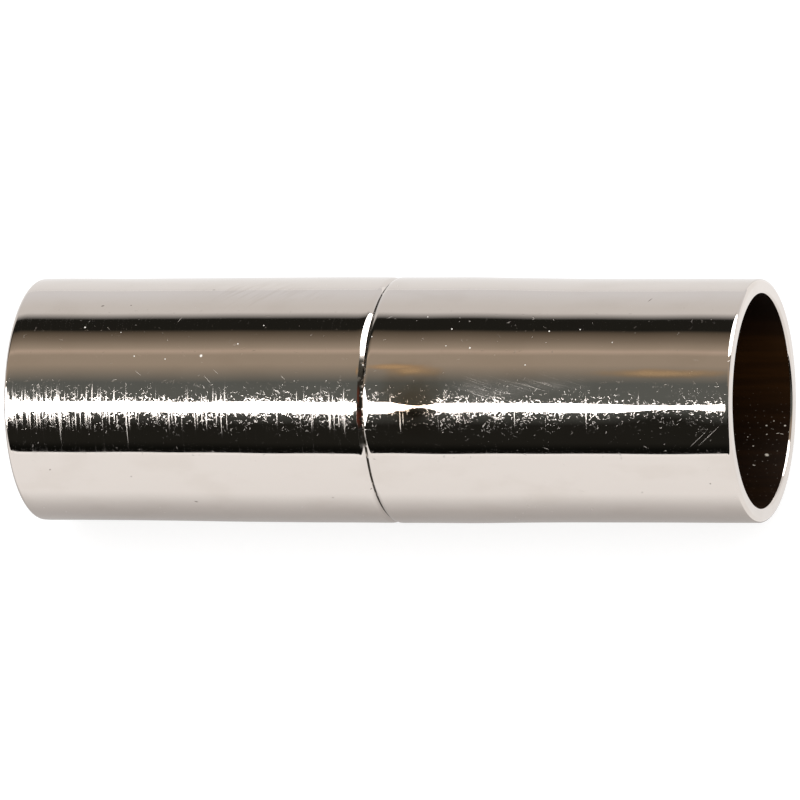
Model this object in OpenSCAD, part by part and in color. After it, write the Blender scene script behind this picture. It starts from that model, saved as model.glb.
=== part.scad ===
// Magnetic tube clasp for a cord, closed, lying on its side.
// The origin is on the axis of the tube, in the middle of the seam. +X runs
// from the socket half to the plug half, and +Z is up.

/* [Cord ends] */
// Diameter of the blind bore that a cord is glued into, in both halves
cord_bore_d = 6.2; // [4:0.1:9]
// Depth of that bore
cord_depth = 7; // [4:0.5:12]

/* [Shells] */
// Thickness of the tube round its widest bore, at the cord mouth
wall_t = 0.44; // [0.35:0.01:1]
// Metal left between the cord bore and the magnet in the socket half
web_t = 0.65; // [0.4:0.05:2]
// How much the radius swells from the cord mouth to the seam
swell = 0.05; // [0:0.01:0.3]
// Edge round of the socket half at the seam
socket_seam_round = 0.19; // [0.05:0.01:0.25]
// Edge round of the plug half at the seam
plug_seam_round = 0.14; // [0.05:0.01:0.25]
// Edge round outside the cord mouth
mouth_round = 0.12; // [0.05:0.01:0.25]
// Edge round inside the cord mouth and inside the magnet pocket
inner_round = 0.08; // [0.03:0.01:0.15]

/* [Magnets] */
// Diameter of both magnet discs
magnet_d = 6; // [4:0.1:9]
// Thickness of both magnet discs
magnet_t = 2.5; // [2:0.1:4]
// Bevel of a magnet's edges
magnet_bevel = 0.15; // [0.05:0.05:0.4]
// How far the plug magnet stands out of its shell
plug_reach = 0.8; // [0.4:0.1:1.5]

/* [Clearances] */
// Dark line that shows between the two shells
seam_gap = 0.02; // [0.01:0.01:0.1]
// Space between the faces of the two magnets
magnet_gap = 0.05; // [0.02:0.01:0.1]
// Space round a magnet in its pocket
magnet_side_gap = 0.1; // [0.05:0.01:0.2]
// Film of glue under a magnet
glue_film = 0.02; // [0.02:0.01:0.1]

/* [Hidden] */
$fn = 96;

// Barrel line of each half, from cord mouth to seam, straight at both ends
// [share of the shell's length, share of the swell]
SOCKET_LINE = [[0, 0.3], [0.06, 0.3], [0.25, 0.2], [0.6, 0.85], [0.8, 1], [1, 1]];
PLUG_LINE = [[0, 0], [0.06, 0], [0.5, 0.1], [0.8, 1], [1, 1]];

// A rounded edge takes up no more than this share of the wall
round_share = 0.45;
// How far a cutting shape runs past what it cuts
past = 1;

pocket_r = magnet_d / 2 + magnet_side_gap;
bore_r = cord_bore_d / 2;
mouth_r = max(bore_r, pocket_r) + wall_t;
seam_r = mouth_r + swell;

// The plug magnet fills this recess when the clasp is closed
recess = plug_reach + magnet_gap - seam_gap;
socket_pocket = recess + magnet_t + glue_film;
plug_pocket = magnet_t + glue_film - plug_reach;
// Both shells have the same length outside
shell_l = socket_pocket + web_t + cord_depth;

function edge_round(r) = min(r, wall_t * round_share);

// What lies between a square corner at the origin and its arc
module corner_waste(r) {
    difference() {
        square(r);
        translate([r, r]) circle(r);
    }
}

// Half of a shell's section, solid: radius across, cord mouth at zero, seam up
module barrel_section(line, seam_round) {
    rs = edge_round(seam_round);
    rm = edge_round(mouth_round);
    outer = [for (row = line) [mouth_r + row[1] * swell, row[0] * shell_l]];
    mouth_outer_r = outer[0][0];
    difference() {
        polygon(concat([[0, 0]], outer, [[0, shell_l]]));
        translate([seam_r, shell_l]) rotate(180) corner_waste(rs);
        translate([mouth_outer_r, 0]) rotate(90) corner_waste(rm);
    }
}

// What a bore and the round of its lip take out, with its mouth at zero
module bore_section(r, depth) {
    translate([0, -past]) square([r, depth + past]);
    translate([r, 0]) corner_waste(edge_round(inner_round));
}

// A shell with its cord mouth at zero and its seam face up
module shell_upright(line, seam_round, pocket_depth) {
    rotate_extrude()
    difference() {
        barrel_section(line, seam_round);
        bore_section(bore_r, cord_depth);
        translate([0, shell_l]) mirror([0, 1]) bore_section(pocket_r, pocket_depth);
    }
}

// A magnet with its seated face at zero
module magnet_upright() {
    r = magnet_d / 2;
    b = magnet_bevel;
    rotate_extrude()
    polygon([[0, 0], [r - b, 0], [r, b], [r, magnet_t - b], [r - b, magnet_t], [0, magnet_t]]);
}

// Turns an upright piece of the socket half so that its seam face looks to +X
module facing_plug(x) {
    translate([x, 0, 0]) rotate([0, 90, 0]) children();
}

// Turns an upright piece of the plug half so that its seam face looks to -X
module facing_socket(x) {
    mirror([1, 0, 0]) facing_plug(-x) children();
}

module socket_shell() {
    color("gainsboro")
    facing_plug(-seam_gap / 2 - shell_l)
    shell_upright(SOCKET_LINE, socket_seam_round, socket_pocket);
}

module socket_magnet() {
    color("silver")
    facing_plug(-seam_gap / 2 - recess - magnet_t)
    magnet_upright();
}

module plug_shell() {
    color("gainsboro")
    facing_socket(seam_gap / 2 + shell_l)
    shell_upright(PLUG_LINE, plug_seam_round, plug_pocket);
}

module plug_magnet() {
    color("silver")
    facing_socket(seam_gap / 2 - plug_reach + magnet_t)
    magnet_upright();
}

socket_shell();
socket_magnet();
plug_shell();
plug_magnet();
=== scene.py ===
# %% [markdown]
# A magnetic clasp for a round cord. It is two short metal tubes, plated bright, that snap
# together end to end with a disc magnet in each. A cord is glued into the open end of each
# tube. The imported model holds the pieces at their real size, and this lesson gives them the
# finish that the real ones have. It starts by loading that model, which is never changed.

# %% Load the clasp
import math

import bmesh
import bpy
import numpy as np
from mathutils import Matrix, Vector


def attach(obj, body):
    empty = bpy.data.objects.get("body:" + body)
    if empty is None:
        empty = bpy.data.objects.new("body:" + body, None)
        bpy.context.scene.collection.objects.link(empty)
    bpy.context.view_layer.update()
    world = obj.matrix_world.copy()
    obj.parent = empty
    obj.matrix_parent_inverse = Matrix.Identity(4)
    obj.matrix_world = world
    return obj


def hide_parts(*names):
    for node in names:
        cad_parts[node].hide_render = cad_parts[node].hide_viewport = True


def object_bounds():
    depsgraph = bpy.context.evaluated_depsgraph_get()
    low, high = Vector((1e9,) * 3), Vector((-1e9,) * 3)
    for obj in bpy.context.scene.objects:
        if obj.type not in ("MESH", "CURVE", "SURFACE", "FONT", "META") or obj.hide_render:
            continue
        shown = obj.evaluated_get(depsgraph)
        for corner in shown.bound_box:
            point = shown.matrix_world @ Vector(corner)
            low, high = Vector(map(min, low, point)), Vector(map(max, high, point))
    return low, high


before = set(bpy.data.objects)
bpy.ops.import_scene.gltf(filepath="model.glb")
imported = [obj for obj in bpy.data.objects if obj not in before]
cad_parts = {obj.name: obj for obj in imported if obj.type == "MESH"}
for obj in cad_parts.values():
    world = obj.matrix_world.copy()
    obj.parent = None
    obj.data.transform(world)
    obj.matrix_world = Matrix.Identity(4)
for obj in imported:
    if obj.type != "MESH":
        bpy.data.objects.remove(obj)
cad_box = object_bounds()

MM = 0.001
clasp_low, clasp_high = (np.array(corner) for corner in cad_box)
half_length = clasp_high[0]
floor_height = clasp_low[2]
print("clasp length and height in mm:", half_length * 2 / MM, (clasp_high[2] - floor_height) / MM)

# %% [markdown]
# Every piece of the clasp was turned on a lathe, so its form is one outline swept round the
# axis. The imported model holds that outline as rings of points. Reading them back keeps the
# finished pieces true to it. A shell is measured from the seam outwards: side is -1 for the
# socket half, which lies towards -X, and 1 for the plug half.

# %% Read the shells
STRAIGHT_END = 0.5 * MM
MICRON_DIGITS = 6


def rings_of(node, side):
    """The rings of a turned piece, as rows of (distance from the seam plane, radius)."""
    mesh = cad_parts[node].data
    points = np.empty(3 * len(mesh.vertices))
    mesh.vertices.foreach_get("co", points)
    points = points.reshape(-1, 3)
    found = np.column_stack([points[:, 0] * side, np.hypot(points[:, 1], points[:, 2])])
    return np.unique(found.round(MICRON_DIGITS), axis=0)


def read_shell(node, side):
    """The sizes of a shell that its finished piece repeats, in metres."""
    rings = rings_of(node, side)
    away, radius = rings.T
    seam, mouth, bore = away.min(), away.max(), radius.min()
    lip, pocket_floor, cord_floor, _ = np.unique(away[radius == bore])
    outside = rings[radius > (bore + radius.max()) / 2]
    mouth_radius = outside[outside[:, 0] > mouth - STRAIGHT_END, 1].max()
    return {
        "side": side,
        "seam": seam,
        "mouth": mouth,
        "bore": bore,
        "pocket_floor": pocket_floor,
        "cord_floor": cord_floor,
        "inner_round": lip - seam,
        "seam_radius": radius.max(),
        "seam_round": radius.max() - radius[away == seam].max(),
        "mouth_round": mouth_radius - radius[away == mouth].max(),
        "outside": outside,
    }


socket = read_shell("socket_shell", -1)
plug = read_shell("plug_shell", 1)
for shell in (socket, plug):
    lengths = {name: size for name, size in shell.items() if name not in ("side", "outside")}
    print({name: round(float(length) / MM, 3) for name, length in lengths.items()})

# %% [markdown]
# Small jewellery is photographed with a long lens from well back, so that its edges stay
# almost parallel. The camera looks down at the clasp at 50 degrees, from 28 degrees to the
# right of square on, which shows the cord mouth of the plug half. It is rolled until the
# clasp lies level across the picture. A Track To constraint could aim it, but the roll
# follows from the clasp's own axis, so the three camera axes are worked out here instead.

# %% Place the camera
CAMERA_DISTANCE = 400 * MM
CAMERA_ELEVATION = math.radians(50)
CAMERA_AZIMUTH = math.radians(28.2)
CAMERA_ROLL = math.radians(0.14)
PICTURE_WIDTH = 23.3 * MM
CLIP_SPAN = 10

scene = bpy.context.scene
to_camera = Vector((
    math.sin(CAMERA_AZIMUTH) * math.cos(CAMERA_ELEVATION),
    -math.cos(CAMERA_AZIMUTH) * math.cos(CAMERA_ELEVATION),
    math.sin(CAMERA_ELEVATION),
))
clasp_axis = Vector((1, 0, 0))
level = (clasp_axis - to_camera * to_camera.x).normalized()
right = Matrix.Rotation(CAMERA_ROLL, 3, to_camera) @ level
up = to_camera.cross(right)

camera = bpy.data.objects.new("camera", bpy.data.cameras.new("camera"))
scene.collection.objects.link(camera)
facing = Matrix((right, up, to_camera)).transposed().to_4x4()
camera.matrix_world = Matrix.Translation(to_camera * CAMERA_DISTANCE) @ facing
camera.data.lens = camera.data.sensor_width * CAMERA_DISTANCE / PICTURE_WIDTH
camera.data.clip_start = CAMERA_DISTANCE / CLIP_SPAN
camera.data.clip_end = CAMERA_DISTANCE * CLIP_SPAN
scene.camera = camera
print("lens in mm:", round(camera.data.lens, 1))

# %% [markdown]
# Materials are built from shader nodes. These helpers put one node into a material and link
# it in the same line: an input that is given a socket is linked to it, and any other input
# is set to the value. Each helper gives back the node's result, ready for the next one.

# %% Helpers for shader nodes
def put(tree, kind, inputs=None, **settings):
    """Adds a shader node and gives it back."""
    made = tree.nodes.new(kind)
    for name, value in settings.items():
        setattr(made, name, value)
    for name, value in (inputs or {}).items():
        if isinstance(value, bpy.types.NodeSocket):
            tree.links.new(value, made.inputs[name])
        else:
            made.inputs[name].default_value = value
    return made


def calc(tree, operation, *values):
    """The result of a Math node."""
    return put(tree, "ShaderNodeMath", dict(enumerate(values)), operation=operation).outputs[0]


def product(tree, *values):
    """Several numbers multiplied."""
    result = values[0]
    for value in values[1:]:
        result = calc(tree, "MULTIPLY", result, value)
    return result


def strongest(tree, *values):
    """The largest of several numbers."""
    result = values[0]
    for value in values[1:]:
        result = calc(tree, "MAXIMUM", result, value)
    return result


def ease(tree, value, low, high):
    """A soft step from 0 at low to 1 at high. With low above high it runs the other way."""
    inputs = {"Value": value, "From Min": low, "From Max": high}
    return put(tree, "ShaderNodeMapRange", inputs, interpolation_type="SMOOTHSTEP").outputs[0]


def tint(tree, share, under, over):
    """The colour under, covered by the colour over as far as share says."""
    mix = put(tree, "ShaderNodeMix", {"Factor": share}, data_type="RGBA")
    for place, colour in (("A_Color", under), ("B_Color", over)):
        socket_in = next(one for one in mix.inputs if one.identifier == place)
        if isinstance(colour, bpy.types.NodeSocket):
            tree.links.new(colour, socket_in)
        else:
            socket_in.default_value = (*colour, 1)
    return next(one for one in mix.outputs if one.identifier == "Result_Color")


def vector(tree, operation, a, b):
    """The vector result of a Vector Math node."""
    return put(tree, "ShaderNodeVectorMath", {0: a, 1: b}, operation=operation).outputs[0]


def object_place(tree):
    """A point's place in its object's own frame."""
    return put(tree, "ShaderNodeTexCoord").outputs["Object"]


def parts_of(tree, place):
    """The X, Y and Z of a place."""
    return put(tree, "ShaderNodeSeparateXYZ", {0: place}).outputs


print("helpers for shader nodes are ready")

# %% [markdown]
# A material starts as an empty node tree and ends in one surface.

# %% Helpers for the studio
def new_material(name):
    """An empty material and its node tree."""
    material = bpy.data.materials.new(name)
    material.use_nodes = True
    material.node_tree.nodes.clear()
    return material, material.node_tree


def give_surface(tree, shader):
    """Links a shader to the material's surface."""
    put(tree, "ShaderNodeOutputMaterial", {"Surface": shader.outputs[0]})


def add_stage(name, points, faces, material):
    """A piece of the studio, which isn't part of the clasp."""
    mesh = bpy.data.meshes.new(name)
    mesh.from_pydata(points, [], faces)
    mesh.materials.append(material)
    made = bpy.data.objects.new(name, mesh)
    scene.collection.objects.link(made)
    return made


print("helpers for the studio are ready")

# %% [markdown]
# Polished metal has hardly any colour of its own. What the eye reads as metal is the room
# that it mirrors, so lighting it means building that room. Plain white all round would make
# the clasp look like chalk. The floor is a light table: a white sheet lit from above, that
# also glows from below. The glow thins out the clasp's shadow.

# %% Lay the light table
FLOOR_REACH = 600 * MM
FLOOR_WHITE = (0.3, 0.3, 0.3, 1)
FLOOR_GLOW = 0.79
SKY_LIGHT = 1.27

scene.view_settings.view_transform = "Standard"
scene.view_settings.look = "None"
world = bpy.data.worlds.new("studio")
world.use_nodes = True
sky = world.node_tree.nodes["Background"].inputs
sky["Color"].default_value = (1, 1, 1, 1)
sky["Strength"].default_value = SKY_LIGHT
scene.world = world

floor_material, floor_tree = new_material("light_table")
sheet = put(floor_tree, "ShaderNodeBsdfDiffuse", {"Color": FLOOR_WHITE})
glow = put(floor_tree, "ShaderNodeEmission", {"Strength": FLOOR_GLOW})
give_surface(floor_tree, put(floor_tree, "ShaderNodeAddShader", {0: sheet.outputs[0], 1: glow.outputs[0]}))
floor_material.cycles.emission_sampling = "NONE"
floor_corners = [
    (x * FLOOR_REACH, y * FLOOR_REACH, floor_height)
    for x, y in ((-1, -1), (1, -1), (1, 1), (-1, 1))
]
add_stage("floor", floor_corners, [(0, 1, 2, 3)], floor_material)
print("floor at mm:", round(floor_height / MM, 3))

# %% [markdown]
# A tube mirrors the room as stripes along its length, because every line along the tube
# sees one direction. So the room is a half pipe round the clasp, drawn as angles: 0 is the
# horizon in front of the clasp, 90 is overhead and 180 is the horizon behind it. The dark
# floor of the room in front, the dim warm wall above it and the white backdrop behind are
# tones on that pipe. An image of a room could light it too, but stripes are quicker to
# place by angle, and each can be moved until it falls where it does on the real clasp.

# %% Put up the room
ROOM_RADIUS = 300 * MM
ROOM_HALF_LENGTH = 9000 * MM
CARD_STEPS = 24
PITCH = (0.006, 0.006, 0.005)
SHADE = (0.018, 0.0175, 0.0145)
DUSK = (0.14, 0.15, 0.14)
CLAY = (0.44, 0.365, 0.285)
GLOW = (0.62, 0.50, 0.40)
DRAB = (0.27, 0.22, 0.168)
UMBER = (0.122, 0.097, 0.07)
PAPER = (0.83, 0.81, 0.79)
BRIGHT = (0.895, 0.90, 0.92)
ROOM_TONES = [
    # degrees, tone
    (2.2, PITCH),
    (7, PITCH),
    (13, SHADE),
    (30, SHADE),
    (47, DUSK),
    (69.5, DUSK),
    (86.5, CLAY),
    (96, CLAY),
    (100, GLOW),
    (103.3, CLAY),
    (111, DRAB),
    (119.5, UMBER),
    (122.8, SHADE),
    (135.5, SHADE),
    (143.5, PAPER),
    (152, PAPER),
    (172, BRIGHT),
    (180, BRIGHT),
]


def arched_card(name, rows, radius, material):
    """A card bent round the clasp. A row is (x in metres, lowest angle, highest angle)."""
    points = []
    for x, low, high in rows:
        for angle in np.radians(np.linspace(low, high, CARD_STEPS)):
            points.append((x, -radius * math.cos(angle), radius * math.sin(angle)))
    faces = []
    for row in range(len(rows) - 1):
        for i in range(CARD_STEPS - 1):
            near = row * CARD_STEPS + i
            far = near + CARD_STEPS
            faces.append((near, near + 1, far + 1, far))
    card = add_stage(name, points, faces, material)
    only_mirrored(card)
    return card


def only_mirrored(card):
    """The card shows in mirrors and nowhere else."""
    card.visible_camera = False
    card.visible_diffuse = False
    card.visible_shadow = False


room_material, room_tree = new_material("room")
lowest, highest = ROOM_TONES[0][0], ROOM_TONES[-1][0]
room_parts = parts_of(room_tree, object_place(room_tree))
towards_front = product(room_tree, room_parts["Y"], -1)
room_angle = calc(room_tree, "DEGREES", calc(room_tree, "ARCTAN2", room_parts["Z"], towards_front))
room_share = calc(room_tree, "DIVIDE", calc(room_tree, "SUBTRACT", room_angle, lowest), highest - lowest)
ramp = put(room_tree, "ShaderNodeValToRGB", {"Fac": room_share})
stops = ramp.color_ramp.elements
while len(stops) < len(ROOM_TONES):
    stops.new(1)
for stop, (at, tone) in zip(stops, ROOM_TONES):
    stop.position = (at - lowest) / (highest - lowest)
    stop.color = (*tone, 1)
give_surface(room_tree, put(room_tree, "ShaderNodeEmission", {"Color": ramp.outputs["Color"]}))
room_material.cycles.emission_sampling = "NONE"
room_ends = [(-ROOM_HALF_LENGTH, lowest, highest), (ROOM_HALF_LENGTH, lowest, highest)]
arched_card("room", room_ends, ROOM_RADIUS, room_material)
print("room tones:", len(ROOM_TONES))

# %% [markdown]
# Two lamps behind cloth make the hard white marks. One stands to the left in front, and
# draws the white line along the tube and the spike at the seam. The other stands behind to
# the right. The tube itself doesn't see it, but every rounded edge that faces right does.
# The front lamp widens far to the left, where only the edges at the seam and at the left
# end see it, so the line that it draws flares there.

# %% Set the lamps
LAMP_RADIUS = 290 * MM
FRONT_STRENGTH = 10
REAR_STRENGTH = 5
FRONT_LAMP = [
    # x mm, lowest angle, highest angle
    (-4000, 34, 56),
    (-1500, 25, 64),
    (-500, 17, 72),
    (-260, 31, 59),
    (-150, 38, 53),
    (-118, 38.5, 52),
    (-114, 40.5, 51.6),
    (-110, 42, 51.2),
    (-102, 42.3, 51.2),
    (-98, 41, 51.2),
    (-94, 40.5, 51),
    (-88, 40, 50.8),
    (-82, 42, 50.5),
    (-76, 43.5, 50.3),
    (-40, 43.8, 50.2),
]
REAR_LAMP = [
    (-20, 112, 124),
    (-5, 104, 132),
    (25, 98.5, 137.5),
    (60, 96, 140.5),
    (105, 96, 143),
    (160, 98.5, 147.5),
    (230, 102.5, 154),
    (310, 108, 157),
    (415, 115, 158),
    (560, 126, 158),
]


def lamp(name, rows, strength):
    """A glowing card for the rows of (x in mm, lowest angle, highest angle)."""
    material, tree = new_material(name)
    give_surface(tree, put(tree, "ShaderNodeEmission", {"Strength": strength}))
    return arched_card(name, [(x * MM, low, high) for x, low, high in rows], LAMP_RADIUS, material)


lamps = [lamp("front_lamp", FRONT_LAMP, FRONT_STRENGTH), lamp("rear_lamp", REAR_LAMP, REAR_STRENGTH)]
print("lamps:", [one.name for one in lamps])

# %% [markdown]
# Close to the clasp the floor lies in its shade, and the tube mirrors that as a soft grey
# stripe along its underside. A sheet of grey film on the floor, seen only in mirrors, deepens
# that stripe with painted shade without darkening the floor itself. Behind the clasp it also
# paints the mirrored floor a little darker. Film is a transparent surface whose colour takes
# away a share of the light. Its tone depends only on how far a place lies in front or behind
# the axis. It ends at the cord mouth, where the flat rim mirrors the bare floor.

# %% Lay the film of painted shade
SHADE_FILM_RISE = 0.005 * MM
# These tones are painted shade for the floor that the tube mirrors: deepest near the clasp, lighter behind
# it, clear in front.
SHADE_FILM_NEAR = (0.525, 0.51, 0.50)
SHADE_FILM_BEHIND = (0.87, 0.87, 0.87)
SHADE_FILM_FAR_BEHIND = (0.77, 0.77, 0.78)
SHADE_FILM_CLEAR = (1.0, 1.0, 1.0)
SHADE_FILM_EDGE = (3.2 * MM, 7.7 * MM)
SHADE_FILM_DISTANCE = (30 * MM, 300 * MM)

shade_film_material, shade_film_tree = new_material("painted_shade_film")
shade_film_y = parts_of(shade_film_tree, object_place(shade_film_tree))["Y"]
shade_film_back = tint(shade_film_tree, ease(shade_film_tree, shade_film_y, *SHADE_FILM_DISTANCE), SHADE_FILM_BEHIND, SHADE_FILM_FAR_BEHIND)
shade_film_side = calc(shade_film_tree, "GREATER_THAN", shade_film_y, 0)
shade_film_far = tint(shade_film_tree, shade_film_side, SHADE_FILM_CLEAR, shade_film_back)
shade_film_away = ease(shade_film_tree, calc(shade_film_tree, "ABSOLUTE", shade_film_y), *SHADE_FILM_EDGE)
# The film's tone is painted shade, seen only in mirrors.
painted_shade_tone = tint(shade_film_tree, shade_film_away, SHADE_FILM_NEAR, shade_film_far)
give_surface(shade_film_tree, put(shade_film_tree, "ShaderNodeBsdfTransparent", {"Color": painted_shade_tone}))
shade_film_height = floor_height + SHADE_FILM_RISE
shade_film_corners = [
    (-ROOM_RADIUS, -SHADE_FILM_EDGE[1], shade_film_height),
    (half_length, -SHADE_FILM_EDGE[1], shade_film_height),
    (half_length, ROOM_RADIUS, shade_film_height),
    (-ROOM_RADIUS, ROOM_RADIUS, shade_film_height),
]
only_mirrored(add_stage("painted_shade_film", shade_film_corners, [(0, 1, 2, 3)], shade_film_material))
print("film is deepest within mm:", SHADE_FILM_EDGE[0] / MM)

# %% [markdown]
# A turned piece is an outline swept round the axis, as on a lathe. Blender's Screw modifier
# does that, but here each point is also moved a little, because no polished tube is quite
# round. The mesh is therefore built point by point. Its UV map is the skin of the tube
# unrolled in millimetres: U runs along the axis and V round it, from the front horizon up
# over the top. The cut lies underneath, where nobody sees it.

# %% Turn a piece
SEGMENTS = 256
SHARP_EDGE = math.radians(30)
LOWEST_TURN = -90
turns = np.radians(LOWEST_TURN + 360 * np.arange(SEGMENTS) / SEGMENTS)
skin_radius = plug["seam_radius"]
wall_middle = (plug["bore"] + skin_radius) / 2
v_lines = np.radians(LOWEST_TURN + 360 * np.arange(SEGMENTS + 1) / SEGMENTS) * skin_radius / MM


def swept_points(outline, uneven):
    """The points of a turned piece: its first pole, its rings and its last pole."""
    points = [(outline[0][0], 0, 0)]
    for x, radius in outline[1:-1]:
        radii = np.full(SEGMENTS, radius)
        if uneven and radius > wall_middle:
            radii = radii - uneven(x, turns)
        ring = np.column_stack([np.full(SEGMENTS, x), -radii * np.cos(turns), radii * np.sin(turns)])
        points.extend(map(tuple, ring))
    points.append((outline[-1][0], 0, 0))
    return points


def swept_faces(outline):
    """The faces of a turned piece and the unrolled place of each of their corners."""
    u_lines = [x / MM for x, _ in outline]
    last = (len(outline) - 2) * SEGMENTS + 1
    faces, unrolled = [], []
    for row in range(len(outline) - 1):
        u_near, u_far = u_lines[row], u_lines[row + 1]
        near = 1 + (row - 1) * SEGMENTS
        far = near + SEGMENTS
        for i in range(SEGMENTS):
            j = (i + 1) % SEGMENTS
            v_low, v_high = v_lines[i], v_lines[i + 1]
            if row == 0:
                faces.append((0, far + j, far + i))
                unrolled += [(u_near, v_low), (u_far, v_high), (u_far, v_low)]
            elif row == len(outline) - 2:
                faces.append((last, near + i, near + j))
                unrolled += [(u_far, v_low), (u_near, v_low), (u_near, v_high)]
            else:
                faces.append((near + i, near + j, far + j, far + i))
                unrolled += [(u_near, v_low), (u_near, v_high), (u_far, v_high), (u_far, v_low)]
    return faces, unrolled


def turn(name, outline, materials, dress=None, uneven=None):
    """Sweeps an outline, rows of (x, radius) with both ends on the axis, round the X axis.

    dress gives each stretch of the outline its material's number, and uneven(x, turns) says
    how far each point of a ring lies below the outline."""
    faces, unrolled = swept_faces(outline)
    mesh = bpy.data.meshes.new(name)
    mesh.from_pydata(swept_points(outline, uneven), [], faces)
    mesh.uv_layers.new(name="unrolled").data.foreach_set("uv", np.array(unrolled).ravel())
    mesh.polygons.foreach_set("material_index", np.repeat(dress or [0] * (len(outline) - 1), SEGMENTS))
    for material in materials:
        mesh.materials.append(material)
    skin = bmesh.new()
    skin.from_mesh(mesh)
    bmesh.ops.recalc_face_normals(skin, faces=skin.faces)
    skin.to_mesh(mesh)
    skin.free()
    mesh.shade_smooth()
    mesh.set_sharp_from_angle(angle=SHARP_EDGE)
    piece = bpy.data.objects.new(name, mesh)
    scene.collection.objects.link(piece)
    print(name, "faces:", len(mesh.polygons))
    return piece


print("girth of the skin in mm:", round(v_lines[-1] - v_lines[0], 2))

# %% [markdown]
# The outline of a shell is one closed line: from the web between the two bores, along the
# magnet's pocket to the seam, round the edge, along the barrel, round the mouth and down
# the cord's bore to the web again. A narrow extra ring beside each rounded edge keeps the
# flat next to it flat, because smooth shading blends the surface across a whole face. At the
# seam the edges are only broken, as with a file: the arc turns part of the way over and then
# meets the end face at a corner. Each mirrors a lamp right up to the seam because of that.

# %% Draw a shell's outline
SEAM_TURNS = {-1: 45, 1: 27}
ARC_STEPS = 10
BARREL_STEP = 0.1 * MM
EXTRA_RING = 0.008 * MM
SOFTENING = 0.5 * MM
SOFTENING_SPAN = 2
SOFTENING_STEPS = 41


def edge_arc(centre, size, first, last):
    """Points of a rounded edge. Angles are in degrees from the axis' direction to the outside."""
    angles = np.radians(np.linspace(first, last, ARC_STEPS + 1))
    return [(centre[0] + size * math.cos(a), centre[1] + size * math.sin(a)) for a in angles]


def barrel_line(shell):
    """The barrel between its two rounded edges, with the corners of its outline smoothed away."""
    first, last = shell["seam"] + shell["seam_round"], shell["mouth"] - shell["mouth_round"]
    outside = shell["outside"]
    away = np.unique(outside[:, 0])
    away = away[(away >= first) & (away <= last)]
    radius = np.array([outside[outside[:, 0] == at, 1].max() for at in away])
    stations = np.linspace(first, last, round((last - first) / BARREL_STEP) + 1)
    stations = np.sort(np.append(stations, [first + EXTRA_RING, last - EXTRA_RING]))
    nearby = np.linspace(-SOFTENING_SPAN, SOFTENING_SPAN, SOFTENING_STEPS) * SOFTENING
    weights = np.exp(-((nearby / SOFTENING) ** 2))
    soft = [np.average(np.interp(at + nearby, away, radius), weights=weights) for at in stations]
    return list(zip(stations, soft))


def shell_outline(shell):
    """Rows of (x, radius), and the material's number of each stretch: 0 plated, 1 inside."""
    bore, seam, mouth = shell["bore"], shell["seam"], shell["mouth"]
    inner, at_seam, at_mouth = shell["inner_round"], shell["seam_round"], shell["mouth_round"]
    pocket = [(shell["pocket_floor"], 0), (shell["pocket_floor"], bore)]
    barrel = barrel_line(shell)
    seam_radius, mouth_radius = barrel[0][1], barrel[-1][1]
    turned = SEAM_TURNS[shell["side"]]
    seam_size = at_seam / math.sin(math.radians(turned))
    seam_edge = edge_arc((seam + at_seam, seam_radius - seam_size), seam_size, 90 + turned, 90)
    mouth_edge = edge_arc((mouth - at_mouth, mouth_radius - at_mouth), at_mouth, 90, 0)
    pocket_lip = edge_arc((seam + inner, bore + inner), inner, 270, 180)
    bore_lip = edge_arc((mouth - inner, bore + inner), inner, 360, 270)
    seam_flat = [(seam, bore + inner + EXTRA_RING), (seam, seam_edge[0][1] - EXTRA_RING)]
    mouth_flat = [(mouth, mouth_radius - at_mouth - EXTRA_RING), (mouth, bore + inner + EXTRA_RING)]
    bore_wall = [(shell["cord_floor"], bore), (shell["cord_floor"], 0)]
    plated = pocket_lip + seam_flat + seam_edge + barrel[1:-1] + mouth_edge + mouth_flat + bore_lip
    rows = pocket + plated + bore_wall
    dress = [1] * len(pocket) + [0] * (len(plated) - 1) + [1] * len(bore_wall)
    return [(away * shell["side"], radius) for away, radius in rows], dress


for shell in (socket, plug):
    print("outline points:", len(shell_outline(shell)[0]))

# %% [markdown]
# Polishing leaves a tube a few thousandths of a millimetre out of round, and use adds small
# dents and raised spots. None can be seen by itself, but a mirror shows them all: a stripe of
# reflected light bends where the surface leans by half a degree. Each half gets long waves
# of its own, from a seeded generator so that every run gives the same tube, and a few listed
# dents. A dent of negative depth is a raised spot. The edges roll off softly, as
# polished edges do, but for the crisp one at the plug's mouth.

# %% Make a shell uneven
WAVES = 9
WAVE_HEIGHT = 0.0012 * MM
WAVE_LENGTHS = (2.5 * MM, 9 * MM)
MOST_LOBES = 6
ROLL_CURVE = 0.16 / MM
DENT_FALL = 2
SOCKET_SEED = 5
SOCKET_ROLLS = (0.36 * MM, 0.36 * MM)
PLUG_SEED = 11
PLUG_ROLLS = (0.2 * MM, 0)
SOCKET_DENTS = [
    # x mm, angle, reach along mm, reach round mm, depth mm
    (-2.6, 43, 1.2, 1.2, 0.003),
    (-0.02, 86, 0.2, 0.75, 0.02),
]
PLUG_DENTS = [
    (1.6, 50.5, 0.5, 0.3, -0.034),
    (0.6, 44, 0.5, 0.6, 0.003),
    (9.0, 50.3, 1.8, 0.5, -0.026),
]


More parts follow.
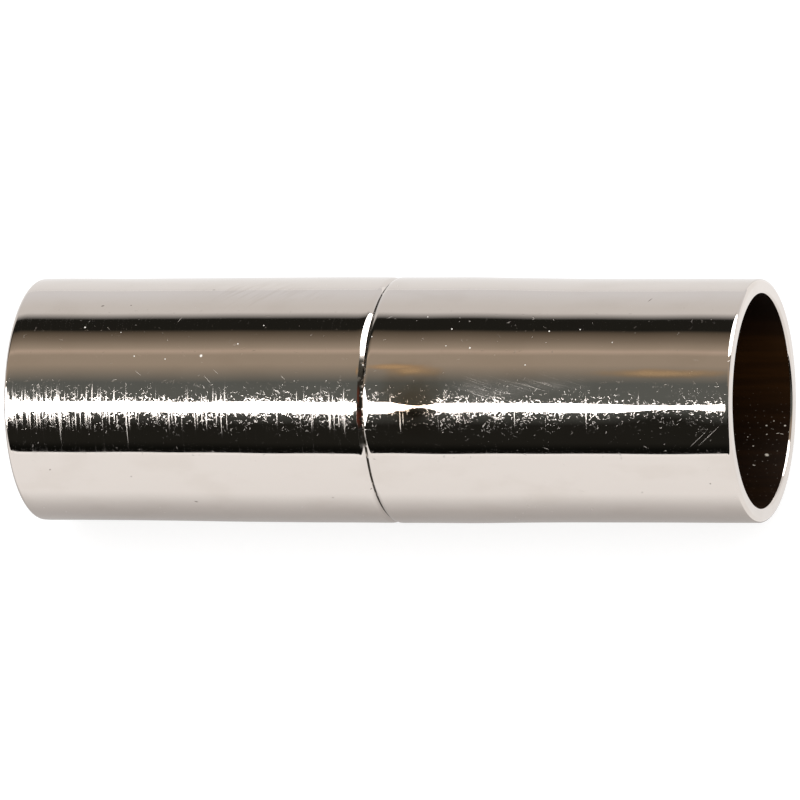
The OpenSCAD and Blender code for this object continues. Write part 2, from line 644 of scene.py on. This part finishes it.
def unevenness(seed, dents, seam_roll, mouth_roll):
    """Gives uneven(x, turns), which says how far a point lies below the outline.

    seam_roll and mouth_roll say how far from its end the tube starts to roll off."""
    draw = np.random.default_rng(seed)
    lengths = draw.uniform(*WAVE_LENGTHS, WAVES)
    lobes = draw.integers(0, MOST_LOBES, WAVES)
    phases = draw.uniform(0, 2 * math.pi, (WAVES, 2))

    def uneven(x, turns):
        below = np.full(SEGMENTS, WAVE_HEIGHT * WAVES)
        for length, lobe, (along, around) in zip(lengths, lobes, phases):
            wave = math.sin(2 * math.pi * x / length + along) * np.cos(lobe * turns + around)
            below = below + WAVE_HEIGHT * wave
        for dent_x, dent_angle, reach_along, reach_round, depth in dents:
            along = (x - dent_x * MM) / (reach_along * MM)
            around = (turns - math.radians(dent_angle)) * skin_radius / (reach_round * MM)
            below = below + depth * MM * np.exp(-DENT_FALL * (along**2 + around**2))
        into_roll = max(0, seam_roll - abs(x), abs(x) - half_length + mouth_roll)
        return below + ROLL_CURVE * into_roll**2

    return uneven


socket_uneven = unevenness(SOCKET_SEED, SOCKET_DENTS, *SOCKET_ROLLS)
plug_uneven = unevenness(PLUG_SEED, PLUG_DENTS, *PLUG_ROLLS)
print("the plug half's edge lies low by up to mm:", plug_uneven(plug["seam"], turns).max() / MM)

# %% [markdown]
# The plating is nickel: a shade warmer than chrome, and a mirror where it is new. Use has
# left fine marks on it, drawn here on the unrolled skin. These helpers measure how far out
# in an ellipse a place lies, turn or move it, and make noise. An image of scratches would be
# simpler, but it would blur when the camera comes close.

# %% Helpers for marks
def reach_of(tree, offset, half_x, half_v):
    """0 in the middle of an ellipse with these half widths and 1 on its edge."""
    scaled = vector(tree, "MULTIPLY", offset, (1 / half_x, 1 / half_v, 0))
    return put(tree, "ShaderNodeVectorMath", {0: scaled}, operation="LENGTH").outputs["Value"]


def swung(tree, place, angle):
    """The place turned by an angle in radians about the point where U and V are 0."""
    inputs = {"Vector": place, "Angle": angle}
    return put(tree, "ShaderNodeVectorRotate", inputs, rotation_type="Z_AXIS").outputs[0]


def noise(tree, place, along, around, detail, seed):
    """Noise on the skin with so many features per mm along the axis and round the tube."""
    moved = vector(tree, "ADD", vector(tree, "MULTIPLY", place, (along, around, 0)), (seed, seed, 0))
    inputs = {"Vector": moved, "Scale": 1.0, "Detail": detail}
    return put(tree, "ShaderNodeTexNoise", inputs, noise_dimensions="2D").outputs[0]


def shifted(tree, place, shift):
    """The place moved by so many mm, so that it meets another part of the same pattern."""
    return vector(tree, "ADD", place, shift)


print("helpers for marks are ready")

# %% [markdown]
# Round the socket half run polishing lines, close together near the cord mouth. Both halves
# have short scratches, most of them curled, and the plug half has a slanting grain as well.
# They are too many to set by hand, so a Voronoi texture deals them out: each of its cells
# holds one mark at most, at the cell's own point. The cell's random colour says whether it
# has one, how strong it is and, for a scratch, which way it lies.

# %% Deal out marks
LEAST_LINE = 0.5
LEAST_HAIR = 0.35
DEALT_CORE = 0.3


def deal(tree, place):
    """How far a point lies from the middle of its Voronoi cell, and the cell's three chances."""
    cell = put(tree, "ShaderNodeTexVoronoi", {"Vector": place, "Scale": 1.0}, voronoi_dimensions="2D").outputs
    chances = put(tree, "ShaderNodeSeparateColor", {"Color": cell["Color"]}).outputs
    return vector(tree, "SUBTRACT", place, cell["Position"]), chances


def dealt_mark(tree, reach, chances, least, kept):
    """A cell's mark. least is the weakest strength, and kept the share of cells that have one."""
    mark = ease(tree, reach, 1, DEALT_CORE)
    strength = calc(tree, "MULTIPLY_ADD", chances["Green"], 1 - least, least)
    return product(tree, mark, strength, calc(tree, "LESS_THAN", chances["Blue"], kept))


def brushed(tree, place, lean, per_mm, length, width, kept):
    """Lines of one direction, so many degrees from the axis."""
    along = swung(tree, place, -math.radians(lean))
    offset, chances = deal(tree, vector(tree, "MULTIPLY", along, (1 / length, per_mm, 0)))
    reach = reach_of(tree, offset, 1 / 2, width * per_mm / 2)
    return dealt_mark(tree, reach, chances, LEAST_LINE, kept)


def hairlines(tree, place, per_mm, length, width, kept):
    """Short scratches in all directions."""
    offset, chances = deal(tree, vector(tree, "MULTIPLY", place, (per_mm, per_mm, 0)))
    any_way = product(tree, chances["Red"], 2 * math.pi)
    reach = reach_of(tree, swung(tree, offset, any_way), length * per_mm / 2, width * per_mm / 2)
    return dealt_mark(tree, reach, chances, LEAST_HAIR, kept)


print("weakest line and scratch:", LEAST_LINE, LEAST_HAIR)

# %% [markdown]
# The marks that the eye picks out are set one by one instead. Such a mark is a thin ellipse
# that fades towards its edge. A curled scratch is a straight one on bent ground: noise pushes
# the place about first.

# %% Bend marks and set them one by one
SCRATCH_CORE = 0.4
NOISE_MIDDLE = 0.5


def bent(tree, place, per_mm, most):
    """The place pushed about by up to so many mm, which curls what is drawn there."""
    inputs = {"Vector": vector(tree, "MULTIPLY", place, (per_mm, per_mm, 0)), "Scale": 1.0, "Detail": 1.0}
    winding = put(tree, "ShaderNodeTexNoise", inputs, noise_dimensions="2D").outputs["Color"]
    off = vector(tree, "SUBTRACT", winding, (NOISE_MIDDLE,) * 3)
    return vector(tree, "ADD", place, vector(tree, "MULTIPLY", off, (2 * most, 2 * most, 0)))


def scratches(tree, place, rows):
    """Marks listed one by one: rows of (x mm, v mm, length mm, width mm, lean in degrees)."""
    found = 0.0
    for x, v, length, width, lean in rows:
        turned = swung(tree, vector(tree, "SUBTRACT", place, (x, v, 0)), -math.radians(lean))
        reach = reach_of(tree, turned, length / 2, width / 2)
        found = strongest(tree, ease(tree, reach, 1, SCRATCH_CORE), found)
    return found


def amount_along(tree, x, rows):
    """How much there is at x, from rows of (x mm, amount)."""
    total = rows[0][1]
    for (x_a, a), (x_b, b) in zip(rows, rows[1:]):
        total = calc(tree, "ADD", total, product(tree, ease(tree, x, x_a, x_b), b - a))
    return total


print("full part of a mark set by hand:", SCRATCH_CORE)

# %% [markdown]
# The larger marks are charted from enlarged views of the real clasp. V is the way
# round the tube from the front horizon, in mm: the white line lies near 3, the top of the
# tube at 5.6. Lines and scuffs have an amount at each x. Spikes are polishing lines that
# cross the white line. Pocks are small dark pits, and one short hair. Dust is pale specks.
# Grime and worn copper are strips beside the seam, where dirt gathers and the plating has
# rubbed through.

# %% Chart the marks
SOCKET_MARKS = {
    "lines_at": [(-9.8, 1.0), (-8.6, 0.35), (-7.0, 0.15), (-2.0, 0.08), (-0.8, 0.25), (-0.3, 0.0)],
    "scuffs_at": [(-11.0, 0.6), (-4.0, 0.6), (-0.5, 0.8), (-0.2, 0.0)],
    "slanting": [],
    "smudges": [(-4.1, 7.3, 2.4, 1.1)],
    "tarnish": [],
    "spikes": [
        # x mm, v mm, length mm, width mm
        (-9.55, 3.0, 1.2, 0.05),
        (-9.28, 2.8, 2.2, 0.05),
        (-8.45, 3.4, 0.8, 0.04),
        (-8.27, 3.5, 1.0, 0.05),
        (-7.75, 2.9, 0.9, 0.04),
        (-7.23, 2.8, 2.4, 0.05),
        (-4.9, 3.05, 1.3, 0.05),
        (-4.46, 3.1, 1.4, 0.05),
        (-4.32, 2.95, 1.9, 0.04),
        (-2.0, 3.3, 0.9, 0.04),
        (-1.02, 3.0, 1.6, 0.06),
        (-0.73, 2.85, 0.9, 0.05),
        (-0.57, 3.0, 2.0, 0.05),
    ],
    "cuts": [
        # x mm, v mm, length mm, width mm, lean
        (-6.88, 4.13, 0.4, 0.03, -38),
        (-4.5, 4.17, 0.34, 0.03, -38),
        (-4.75, 3.95, 0.5, 0.025, -45),
        (-2.44, 4.0, 0.3, 0.03, -45),
        (-5.86, 5.9, 0.3, 0.03, 65),
    ],
    "pocks": [
        (-8.38, 6.5, 0.13, 0.07, 20),
        (-7.51, 6.52, 0.07, 0.05, 0),
        (-5.19, 7.34, 0.1, 0.05, 0),
        (-9.78, 1.13, 0.08, 0.05, 40),
        (-7.33, 0.89, 0.05, 0.05, 0),
        (-5.59, -0.19, 0.14, 0.07, -20),
        (-1.34, 0.07, 0.07, 0.05, 0),
        (-0.09, 0.44, 0.08, 0.05, 30),
    ],
    "dust": [
        # x mm, v mm, size mm
        (-7.58, 5.44, 0.04),
        (-8.72, 5.62, 0.07),
        (-7.05, 4.65, 0.05),
        (-6.09, 4.56, 0.05),
        (-5.0, 4.66, 0.11),
        (-3.92, 5.04, 0.06),
        (-3.24, 5.67, 0.05),
        (-0.05, 4.4, 0.06),
        (-0.05, 3.58, 0.06),
    ],
    "ochre": [(-0.2, 4.2, 0.06, 0.2)],
    # x mm, half width mm, lowest v mm, highest v mm
    "grime": [(-0.085, 0.09, 1.8, 4.8)],
    "worn": [(-0.12, 0.078, 2.45, 3.2), (-0.135, 0.035, 3.05, 3.85)],
}
PLUG_MARKS = {
    "lines_at": [(0.0, 0.04), (11.0, 0.0)],
    "scuffs_at": [(0.0, 0.6), (1.0, 0.2), (2.0, 0.5), (2.5, 0.9), (4.8, 0.9), (5.8, 0.4), (11.0, 0.55)],
    # x mm, v mm, half length mm, half width mm
    "slanting": [(4.9, 3.85, 3.6, 0.7)],
    "smudges": [],
    "tarnish": [(1.5, 3.3, 1.3, 1.3)],
    "spikes": [(1.13, 2.7, 0.9, 0.05), (1.22, 2.8, 0.5, 0.04)],
    "cuts": [
        (10.36, 2.3, 1.3, 0.03, 42),
        (10.03, 2.2, 1.1, 0.025, 42),
        (0.35, 3.45, 0.3, 0.04, -50),
        (2.5, 3.6, 0.2, 0.05, -60),
    ],
    "pocks": [
        (10.19, 0.69, 0.07, 0.06, 0),
        (8.07, 0.32, 0.05, 0.05, 0),
        (8.2, 6.81, 0.26, 0.035, 62),
    ],
    "dust": [
        (1.68, 6.0, 0.05),
        (2.5, 5.55, 0.06),
        (2.41, 4.98, 0.04),
        (3.14, 4.92, 0.07),
        (4.86, 4.4, 0.05),
        (5.44, 5.5, 0.06),
        (6.36, 5.56, 0.05),
        (7.39, 5.12, 0.04),
        (0.12, 5.28, 0.05),
    ],
    "ochre": [(0.9, 4.32, 1.2, 0.1), (1.5, 4.2, 1.0, 0.22), (9.0, 4.15, 2.6, 0.15)],
    "grime": [(0.03, 0.04, 3.9, 6.2), (0.02, 0.035, 5.9, 8.0), (0.02, 0.035, -1.4, 2.4)],
    "worn": [],
}
for marks in (SOCKET_MARKS, PLUG_MARKS):
    print("marks charted:", {kind: len(rows) for kind, rows in marks.items()})

# %% [markdown]
# The colour of the plating hardly changes: faint cloudy stains, slanting smudges on top, an
# ochre film and brown tarnish in a few places, and the dirt, dust and copper of the chart.
# Each is a coat over the ones before it, and covers them as far as its share says.

# %% Colour the plating
NICKEL = (0.65, 0.595, 0.553)
STAIN = (0.57, 0.51, 0.46)
COATS = [
    # kind of mark, share, colour
    ("smudges", 0.6, STAIN),
    ("tarnish", 0.9, (0.40, 0.30, 0.21)),
    ("ochre", 0.85, (0.84, 0.58, 0.33)),
    ("grime", 1.0, (0.045, 0.04, 0.032)),
    ("worn", 1.0, (0.14, 0.042, 0.025)),
    ("pocks", 0.8, (0.12, 0.10, 0.08)),
    ("dust", 1.0, (0.80, 0.76, 0.70)),
]
# features per mm along and round the tube, detail, seed
CLOUDS = (0.5, 0.9, 3.0, 2.2)
STAINED = (0.45, 0.75)
STAIN_SHARE = 0.3


def clouds(tree, place):
    """Slow noise for stains and for the ragged edges of patches."""
    return noise(tree, place, *CLOUDS)


def plated_colour(tree, place, found):
    """Nickel under its coats. found says where each kind of mark lies."""
    stained = product(tree, ease(tree, clouds(tree, place), *STAINED), STAIN_SHARE)
    colour = tint(tree, stained, NICKEL, STAIN)
    for kind, share, over in COATS:
        colour = tint(tree, product(tree, found[kind], share), colour, over)
    return colour


print("nickel reflects:", NICKEL)

# %% [markdown]
# Stains, film and dirt cover areas. A patch is an ellipse whose edge follows the clouds, and
# a smudge is a patch of slanting streaks. Grime and worn copper are narrow strips beside the
# seam, broken up by finer noise. They could be painted into an image, but the values of a
# chart are easier to read and to change.

# %% Lay patches and strips
PATCH_CLOUDS = 1.6
PATCH_EDGE = (1.1, 0.0)
SMUDGE_LEAN = math.radians(55)
SMUDGE_STREAKS = (0.7, 5.0, 2.0, 3.3)
SMUDGED = (0.45, 0.7)
STRIP_FADE = 0.3
STRIP_CORE = 0.8
STRIP_GAPS = (6, 6, 2.0, 7.7)
STRIP_KEPT = (0.25, 0.42)


def patches(tree, place, rows):
    """Ellipses with a cloudy edge: rows of (x mm, v mm, half length mm, half width mm)."""
    cloudy = product(tree, calc(tree, "SUBTRACT", clouds(tree, place), NOISE_MIDDLE), PATCH_CLOUDS)
    found = 0.0
    for x, v, half_x, half_v in rows:
        reach = reach_of(tree, vector(tree, "SUBTRACT", place, (x, v, 0)), half_x, half_v)
        found = strongest(tree, ease(tree, calc(tree, "ADD", reach, cloudy), *PATCH_EDGE), found)
    return found


def smudges(tree, place, rows):
    """Patches of slanting streaks."""
    streaks = noise(tree, swung(tree, place, -SMUDGE_LEAN), *SMUDGE_STREAKS)
    return product(tree, patches(tree, place, rows), ease(tree, streaks, *SMUDGED))


def seam_strips(tree, place, rows):
    """Strips beside the seam: rows of (x mm, half width mm, lowest v mm, highest v mm)."""
    parts = parts_of(tree, place)
    broken = ease(tree, noise(tree, place, *STRIP_GAPS), *STRIP_KEPT)
    found = 0.0
    for x, half_width, low, high in rows:
        away = calc(tree, "ABSOLUTE", calc(tree, "SUBTRACT", parts["X"], x))
        across = ease(tree, away, half_width, half_width * STRIP_CORE)
        above = ease(tree, parts["Y"], low, low + STRIP_FADE)
        below = ease(tree, parts["Y"], high, high - STRIP_FADE)
        found = strongest(tree, product(tree, across, above, below, broken), found)
    return found


print("strips on the socket half:", len(SOCKET_MARKS["grime"] + SOCKET_MARKS["worn"]))

# %% [markdown]
# A groove too narrow to see scatters the light that it mirrors. So each line, scratch and
# scuff is a thin stretch of higher roughness: white beside the lamp's reflection, grey a
# little further off, and hardly there in the rest. Most lie along the front, where the tube
# rubs against things. Bump alone would give hard white dots wherever a leaning side finds
# the lamp, so it only adds a little sparkle to the scuffs.

# %% Draw lines and scuffs
ROUND_THE_TUBE = 90
RUBBED_FROM = (2.15, 2.8)
RUBBED_TO = (4.1, 3.35)
LINES_ELSEWHERE = 0.3
LINE_SIZES = [
    # lines per mm, length mm, width mm, shift mm
    (5, 2.0, 0.06, (0, 0, 0)),
    (9, 1.4, 0.055, (3.7, 1.9, 0)),
    (13, 0.9, 0.045, (1.3, 4.9, 0)),
]
SCUFFS_ELSEWHERE = 0.04
SCUFF_CLUSTERS = (1.8, 2.6, 2.0, 5.3)
CLUSTERED = (0.38, 0.58)
BETWEEN_CLUSTERS = 0.2
STRAIGHT_SCUFFS = (3.5, 0.3, 0.035)
STRAIGHT_SHARE = 0.6
CURLS_PER_MM = 6
CURL_REACH = 0.08
CURLED_SCUFFS = [
    # scuffs per mm, length mm, width mm, shift mm
    (5, 0.22, 0.045, (0, 0, 0)),
    (8, 0.14, 0.04, (5.1, 2.3, 0)),
    (12, 0.09, 0.034, (2.9, 7.7, 0)),
]


def rubbed(tree, place, elsewhere):
    """1 along the front of the tube, where it rubs against things, and less elsewhere."""
    around = parts_of(tree, place)["Y"]
    front = product(tree, ease(tree, around, *RUBBED_FROM), ease(tree, around, *RUBBED_TO))
    return strongest(tree, front, elsewhere)


def polishing_lines(tree, place, marks):
    """Lines round the tube, dealt out in three sizes, and the listed spikes."""
    share = amount_along(tree, parts_of(tree, place)["X"], marks["lines_at"])
    dealt = [
        brushed(tree, shifted(tree, place, shift), ROUND_THE_TUBE, per_mm, length, width, share)
        for per_mm, length, width, shift in LINE_SIZES
    ]
    lines = product(tree, strongest(tree, *dealt), rubbed(tree, place, LINES_ELSEWHERE))
    spikes = [(x, v, length, width, ROUND_THE_TUBE) for x, v, length, width in marks["spikes"]]
    return strongest(tree, lines, scratches(tree, place, spikes))


def scuffs(tree, place, marks):
    """Short hairlines, straight and curled, most of them where the tube is rubbed."""
    amount = amount_along(tree, parts_of(tree, place)["X"], marks["scuffs_at"])
    clusters = ease(tree, noise(tree, place, *SCUFF_CLUSTERS), *CLUSTERED)
    clustered = calc(tree, "MULTIPLY_ADD", clusters, 1 - BETWEEN_CLUSTERS, BETWEEN_CLUSTERS)
    kept = product(tree, amount, rubbed(tree, place, SCUFFS_ELSEWHERE), clustered)
    straight = hairlines(tree, place, *STRAIGHT_SCUFFS, product(tree, kept, STRAIGHT_SHARE))
    curled = bent(tree, place, CURLS_PER_MM, CURL_REACH)
    dealt = [
        hairlines(tree, shifted(tree, curled, shift), per_mm, length, width, kept)
        for per_mm, length, width, shift in CURLED_SCUFFS
    ]
    return strongest(tree, straight, *dealt)


print("sizes of lines and of curled scuffs:", len(LINE_SIZES), len(CURLED_SCUFFS))

# %% [markdown]
# The grain of the plug half runs in two directions, a few degrees apart, as a hand with a
# cloth leaves it. With it every kind of mark can be drawn, and one function gathers them.

# %% Gather the marks
SLANTING_LINES = [
    # lean, lines per mm, length mm, width mm, strength, shift mm
    (-13, 12, 2.4, 0.03, 0.8, (0, 0, 0)),
    (-17, 20, 1.6, 0.02, 1.0, (2.1, 3.3, 0)),
]
SLANTING_KEPT = 0.9
SLANTING_BASE = 0.4


def slanting_grain(tree, place, marks):
    """Fine slanting lines, and a soft haze of finer ones still, inside the ellipses of the chart."""
    grain = SLANTING_BASE
    for lean, per_mm, length, width, strength, shift in SLANTING_LINES:
        lines = brushed(tree, shifted(tree, place, shift), lean, per_mm, length, width, SLANTING_KEPT)
        grain = strongest(tree, product(tree, lines, strength), grain)
    return product(tree, grain, patches(tree, place, marks["slanting"]))


def find_marks(tree, place, marks):
    """Where each kind of mark lies, from 0 to 1."""
    specks = [(x, v, size, size, 0) for x, v, size in marks["dust"]]
    return {
        "lines": polishing_lines(tree, place, marks),
        "scuffs": scuffs(tree, place, marks),
        "slanting": slanting_grain(tree, place, marks),
        "cuts": scratches(tree, place, marks["cuts"]),
        "pocks": scratches(tree, place, marks["pocks"]),
        "dust": scratches(tree, place, specks),
        "grime": seam_strips(tree, place, marks["grime"]),
        "worn": seam_strips(tree, place, marks["worn"]),
        "smudges": smudges(tree, place, marks["smudges"]),
        "tarnish": patches(tree, place, marks["tarnish"]),
        "ochre": patches(tree, place, marks["ochre"]),
    }


print("kinds of mark:", len(SOCKET_MARKS))

# %% [markdown]
# One function mixes the finish of each half from its chart. Haze is the roughness that a
# mark of full strength gives. Dirt and worn copper are dull, and dust isn't metal at all.

# %% Mix the plating
POLISH = 0.03
GRAIN_NOISE = (30, 26, 0.0, 4.4)
GRAINY = (0.6, 0.8)
GRAIN_HAZE = 0.05
HAZE = {
    "lines": 0.38,
    "scuffs": 0.31,
    "slanting": 0.42,
    "cuts": 0.35,
    "grime": 0.4,
    "worn": 0.45,
    "ochre": 0.25,
    "dust": 0.8,
}
SCUFF_DEPTH = 0.0006 * MM


def plating(name, marks):
    """Bright nickel plating with the marks of one half."""
    material, tree = new_material(name)
    place = put(tree, "ShaderNodeUVMap", uv_map="unrolled").outputs[0]
    found = find_marks(tree, place, marks)
    grain = ease(tree, noise(tree, place, *GRAIN_NOISE), *GRAINY)
    smooth = calc(tree, "ADD", product(tree, grain, GRAIN_HAZE), POLISH)
    dulled = [product(tree, found[kind], haze) for kind, haze in HAZE.items()]
    bump = put(tree, "ShaderNodeBump", {
        "Height": found["scuffs"],
        "Strength": 1.0,
        "Distance": SCUFF_DEPTH,
    }, invert=True)
    give_surface(tree, put(tree, "ShaderNodeBsdfPrincipled", {
        "Base Color": plated_colour(tree, place, found),
        "Roughness": strongest(tree, smooth, *dulled),
        "Metallic": calc(tree, "SUBTRACT", 1, found["dust"]),
        "Normal": bump.outputs[0],
    }))
    return material


socket_plating = plating("socket_plating", SOCKET_MARKS)
plug_plating = plating("plug_plating", PLUG_MARKS)
print("plating:", socket_plating.name, plug_plating.name)

# %% [markdown]
# Plating hardly reaches into a deep blind hole, and the tube was never polished there. The
# bore stays a dull dark brown, faintly streaked along its length. Over it lies painted shade:
# darkest above, and darker again at the very bottom. The studio lights all of it alike, so
# the shade is painted into the colour by height instead.

# %% Colour the bores and paint their shade
BORE_BROWN = (0.044, 0.016, 0.0028)
# The dark colour is painted shade for the upper wall. The band at the very bottom is painted shade as well,
# and dust settles there.
BORE_PAINTED_SHADE = (0.007, 0.003, 0.001)
PAINTED_SHADE_ABOVE = (0.2 * MM, -1.8 * MM)
SHADE_AND_DUST_BELOW = (-2.0 * MM, -3.0 * MM)
BOTTOM_PAINTED_SHADE = 0.6
BORE_STREAKS = (0.2, 2.2, 2.0, 5.0)
STREAKED = (0.35, 0.7)
BETWEEN_STREAKS = 0.5

bore_material, bore_tree = new_material("bore")
bore_place = put(bore_tree, "ShaderNodeUVMap", uv_map="unrolled").outputs[0]
bore_height = parts_of(bore_tree, object_place(bore_tree))["Z"]
below_painted_shade = ease(bore_tree, bore_height, *PAINTED_SHADE_ABOVE)
lowest_shade_and_dust = ease(bore_tree, bore_height, *SHADE_AND_DUST_BELOW)
streaks = ease(bore_tree, noise(bore_tree, bore_place, *BORE_STREAKS), *STREAKED)
# The share of brown over the dark colour: painted shade above and again at the very bottom.
lit = product(
    bore_tree,
    below_painted_shade,
    calc(bore_tree, "MULTIPLY_ADD", streaks, 1 - BETWEEN_STREAKS, BETWEEN_STREAKS),
    calc(bore_tree, "MULTIPLY_ADD", lowest_shade_and_dust, -BOTTOM_PAINTED_SHADE, 1),
)
brown = tint(bore_tree, lit, BORE_PAINTED_SHADE, BORE_BROWN)
# The dark colour printed here is painted shade, not the bore's own colour.
print("bore reflects, above and below:", BORE_PAINTED_SHADE, BORE_BROWN)

# %% [markdown]
# The clasp lies on its side, so what falls into the bore settles low down: fine dust, a few
# larger specks, and a curled piece of lint just inside the mouth, drawn as three strokes.
# Dust isn't metal, but there is so little of it that one setting does for the whole bore.

# %% Let dust settle in the bores
BORE_DIRT = (0.9, 0.82, 0.7)
BORE_METAL = 0.3
BORE_ROUGHNESS = 0.4
BORE_SPECULAR = 0.15
DUST_PER_MM = 5
DUST_HALF_SIZE = (0.13, 0.1)
DUST_RARITY = 3
DUST_SHARE = 0.3
BORE_SPECKS = [
    # x mm, v mm, length mm, width mm, lean
    (10.35, 16.54, 0.17, 0.12, 30),
    (10.24, 15.47, 0.08, 0.07, 0),
    (10.8, 15.47, 0.09, 0.07, 0),
    (10.45, 15.31, 0.06, 0.05, 0),
    (10.27, 15.78, 0.06, 0.05, 0),
    (9.9, 16.2, 0.06, 0.06, 0),
    (10.02, -5.6, 0.12, 0.05, 20),
    (9.7, 15.87, 0.05, 0.04, 0),
    (10.6, 15.74, 0.14, 0.03, -14),
    (10.72, 15.76, 0.14, 0.03, 14),
    (10.95, 15.66, 0.16, 0.03, -50),
]

dust_cells = vector(bore_tree, "MULTIPLY", bore_place, (DUST_PER_MM, DUST_PER_MM, 0))
dust_offset, dust_chances = deal(bore_tree, dust_cells)
fine_dust = ease(bore_tree, reach_of(bore_tree, dust_offset, *DUST_HALF_SIZE), 1, SCRATCH_CORE)
dust_strength = calc(bore_tree, "POWER", dust_chances["Green"], DUST_RARITY)
settled = product(bore_tree, fine_dust, dust_strength, lowest_shade_and_dust, DUST_SHARE)
dirt = strongest(bore_tree, settled, scratches(bore_tree, bore_place, BORE_SPECKS))
give_surface(bore_tree, put(bore_tree, "ShaderNodeBsdfPrincipled", {
    "Base Color": tint(bore_tree, dirt, brown, BORE_DIRT),
    "Metallic": BORE_METAL,
    "Roughness": BORE_ROUGHNESS,
    "Specular IOR Level": BORE_SPECULAR,
}))
print("specks set in the bore:", len(BORE_SPECKS))

# %% [markdown]
# The two shells are turned now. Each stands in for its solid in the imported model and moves
# with its own half of the clasp.

# %% Turn the shells
for name, node, body, shell, finish, uneven in (
    ("socket_tube", "socket_shell", "socket_half", socket, socket_plating, socket_uneven),
    ("plug_tube", "plug_shell", "plug_half", plug, plug_plating, plug_uneven),
):
    outline, dress = shell_outline(shell)
    tube = turn(name, outline, [finish, bore_material], dress, uneven)
    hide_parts(node)
    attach(tube, body)

# %% [markdown]
# A disc magnet is pressed from powder, sintered, ground flat and plated with nickel. Its
# edges are rounded and its faces keep a faint grain. A cylinder with a Bevel modifier would
# do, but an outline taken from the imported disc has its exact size.

# %% Turn the magnets
MAGNET_NICKEL = (0.66, 0.64, 0.61, 1)
MAGNET_POLISH = 0.08
MAGNET_HAZE = 0.16
MAGNET_GRAIN_SIZE = 0.25 * MM
MAGNET_GRAIN_DETAIL = 4.0
MAGNET_GRAIN_DEPTH = 0.004 * MM
MAGNET_BUMP = 0.4

magnet_plating, magnet_tree = new_material("magnet_plating")
magnet_grain = put(magnet_tree, "ShaderNodeTexNoise", {
    "Vector": object_place(magnet_tree),
    "Scale": 1 / MAGNET_GRAIN_SIZE,
    "Detail": MAGNET_GRAIN_DETAIL,
}).outputs[0]
magnet_dulled = product(magnet_tree, magnet_grain, MAGNET_HAZE)
magnet_rough = calc(magnet_tree, "ADD", magnet_dulled, MAGNET_POLISH)
magnet_bump = put(magnet_tree, "ShaderNodeBump", {
    "Height": magnet_grain,
    "Strength": MAGNET_BUMP,
    "Distance": MAGNET_GRAIN_DEPTH,
})
give_surface(magnet_tree, put(magnet_tree, "ShaderNodeBsdfPrincipled", {
    "Base Color": MAGNET_NICKEL,
    "Metallic": 1.0,
    "Roughness": magnet_rough,
    "Normal": magnet_bump.outputs[0],
}))


def magnet_outline(node):
    """A disc with rounded edges in the place of a node's bevelled one."""
    rings = rings_of(node, 1)
    left, right_end, radius = rings[:, 0].min(), rings[:, 0].max(), rings[:, 1].max()
    edge = radius - rings[rings[:, 0] == left, 1].max()
    left_arc = edge_arc((left + edge, radius - edge), edge, 180, 90)
    right_arc = edge_arc((right_end - edge, radius - edge), edge, 90, 0)
    left_flat = [(left, 0), (left, radius - edge - EXTRA_RING)]
    right_flat = [(right_end, radius - edge - EXTRA_RING), (right_end, 0)]
    return left_flat + left_arc + right_arc + right_flat


for name, node, body in (
    ("socket_disc", "socket_magnet", "socket_half"),
    ("plug_disc", "plug_magnet", "plug_half"),
):
    disc = turn(name, magnet_outline(node), [magnet_plating])
    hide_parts(node)
    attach(disc, body)
